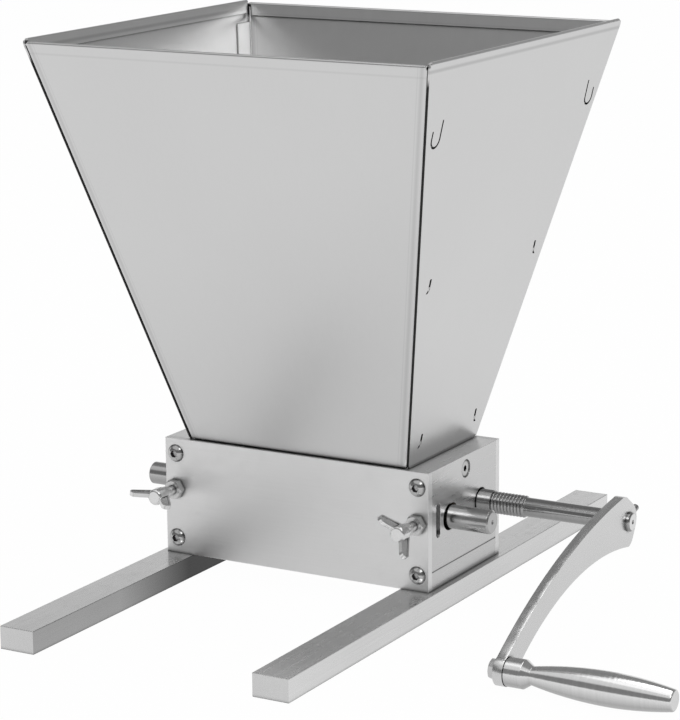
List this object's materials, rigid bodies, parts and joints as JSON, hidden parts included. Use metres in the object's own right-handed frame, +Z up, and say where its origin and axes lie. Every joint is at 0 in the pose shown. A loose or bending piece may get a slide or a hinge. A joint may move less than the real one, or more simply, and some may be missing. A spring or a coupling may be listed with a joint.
{
  "type": "malt mill",
  "caption": "Hand cranked malt mill: fluted rollers in a plate body on foot bars, a folded sheet hopper above, wing bolts that set the roller gap and a crank with a turning grip.",
  "frame": {"origin": "on the standing plane, under the middle of the body", "axes": "+X along the rollers towards the crank, +Y from front to back, +Z up"},
  "size_m": [0.3639, 0.358, 0.2918],
  "materials": {
    "plates": "satin, finely milled",
    "hopper_sheet": "satin sheet",
    "fasteners": "bright",
    "bearings": "bronze, turned",
    "rollers": "fluted",
    "shafts": "ground",
    "crank_metal": "satin",
    "grip_metal": "turned and polished"
  },
  "bodies": {
    "mill": {"front_plate": "plates", "back_plate": "plates", "end_block_left": "plates", "end_block_right": "plates", "foot_bar_left": "plates", "foot_bar_right": "plates", "front_plate_screws": "fasteners", "back_plate_screws": "fasteners", "foot_screws": "fasteners", "drive_bush_left": "bearings", "drive_bush_right": "bearings", "captive_nut_left": "fasteners", "captive_nut_right": "fasteners", "hopper_front": "hopper_sheet", "hopper_back": "hopper_sheet", "hopper_left": "hopper_sheet", "hopper_right": "hopper_sheet", "hopper_screws": "fasteners", "hopper_nuts": "fasteners"},
    "crank": {"drive_roller": "rollers", "drive_shaft": "shafts", "crank_arm": "crank_metal", "crank_set_screw": "fasteners"},
    "grip": {"grip": "grip_metal", "grip_bolt": "fasteners"},
    "carriage": {"idle_bearing_left": "bearings", "idle_bearing_right": "bearings"},
    "idler": {"idle_roller": "rollers", "idle_shaft": "shafts"},
    "wing_left": {"wing_bolt_left": "fasteners"},
    "wing_right": {"wing_bolt_right": "fasteners"},
    "nut_left": {"lock_nut_left": "fasteners"},
    "nut_right": {"lock_nut_right": "fasteners"}
  },
  "joints": [
    {"name": "crank_turn", "type": "hinge", "parent": "mill", "child": "crank", "pos_m": [0, 0.0186, 0.0465], "axis": [1, 0, 0], "continuous": true},
    {"name": "grip_spin", "type": "hinge", "parent": "crank", "child": "grip", "pos_m": [0.1636, -0.11931, 0.0087], "axis": [1, 0, 0], "continuous": true},
    {"name": "gap_slide", "type": "slide", "parent": "mill", "child": "carriage", "axis": [0, 1, 0], "range_m": [-0.0012, 0.0012]},
    {"name": "idle_spin", "type": "hinge", "parent": "carriage", "child": "idler", "pos_m": [0, -0.0154, 0.0465], "axis": [1, 0, 0], "continuous": true},
    {"name": "wing_left_turn", "type": "hinge", "parent": "carriage", "child": "wing_left", "pos_m": [-0.0726, -0.04, 0.0477], "axis": [0, 1, 0], "range_deg": [-540, 540]},
    {"name": "wing_right_turn", "type": "hinge", "parent": "carriage", "child": "wing_right", "pos_m": [0.0726, -0.04, 0.0477], "axis": [0, 1, 0], "range_deg": [-540, 540]},
    {"name": "lock_left_turn", "type": "hinge", "parent": "mill", "child": "nut_left", "pos_m": [-0.0726, -0.04, 0.0477], "axis": [0, 1, 0], "range_deg": [-180, 0]},
    {"name": "lock_right_turn", "type": "hinge", "parent": "mill", "child": "nut_right", "pos_m": [0.0726, -0.04, 0.0477], "axis": [0, 1, 0], "range_deg": [-180, 0]}
  ],
  "couplings": [
    {"joint": "wing_left_turn", "follows": "gap_slide", "rad_per_m": 7854},
    {"joint": "wing_right_turn", "follows": "gap_slide", "rad_per_m": 7854}
  ]
}
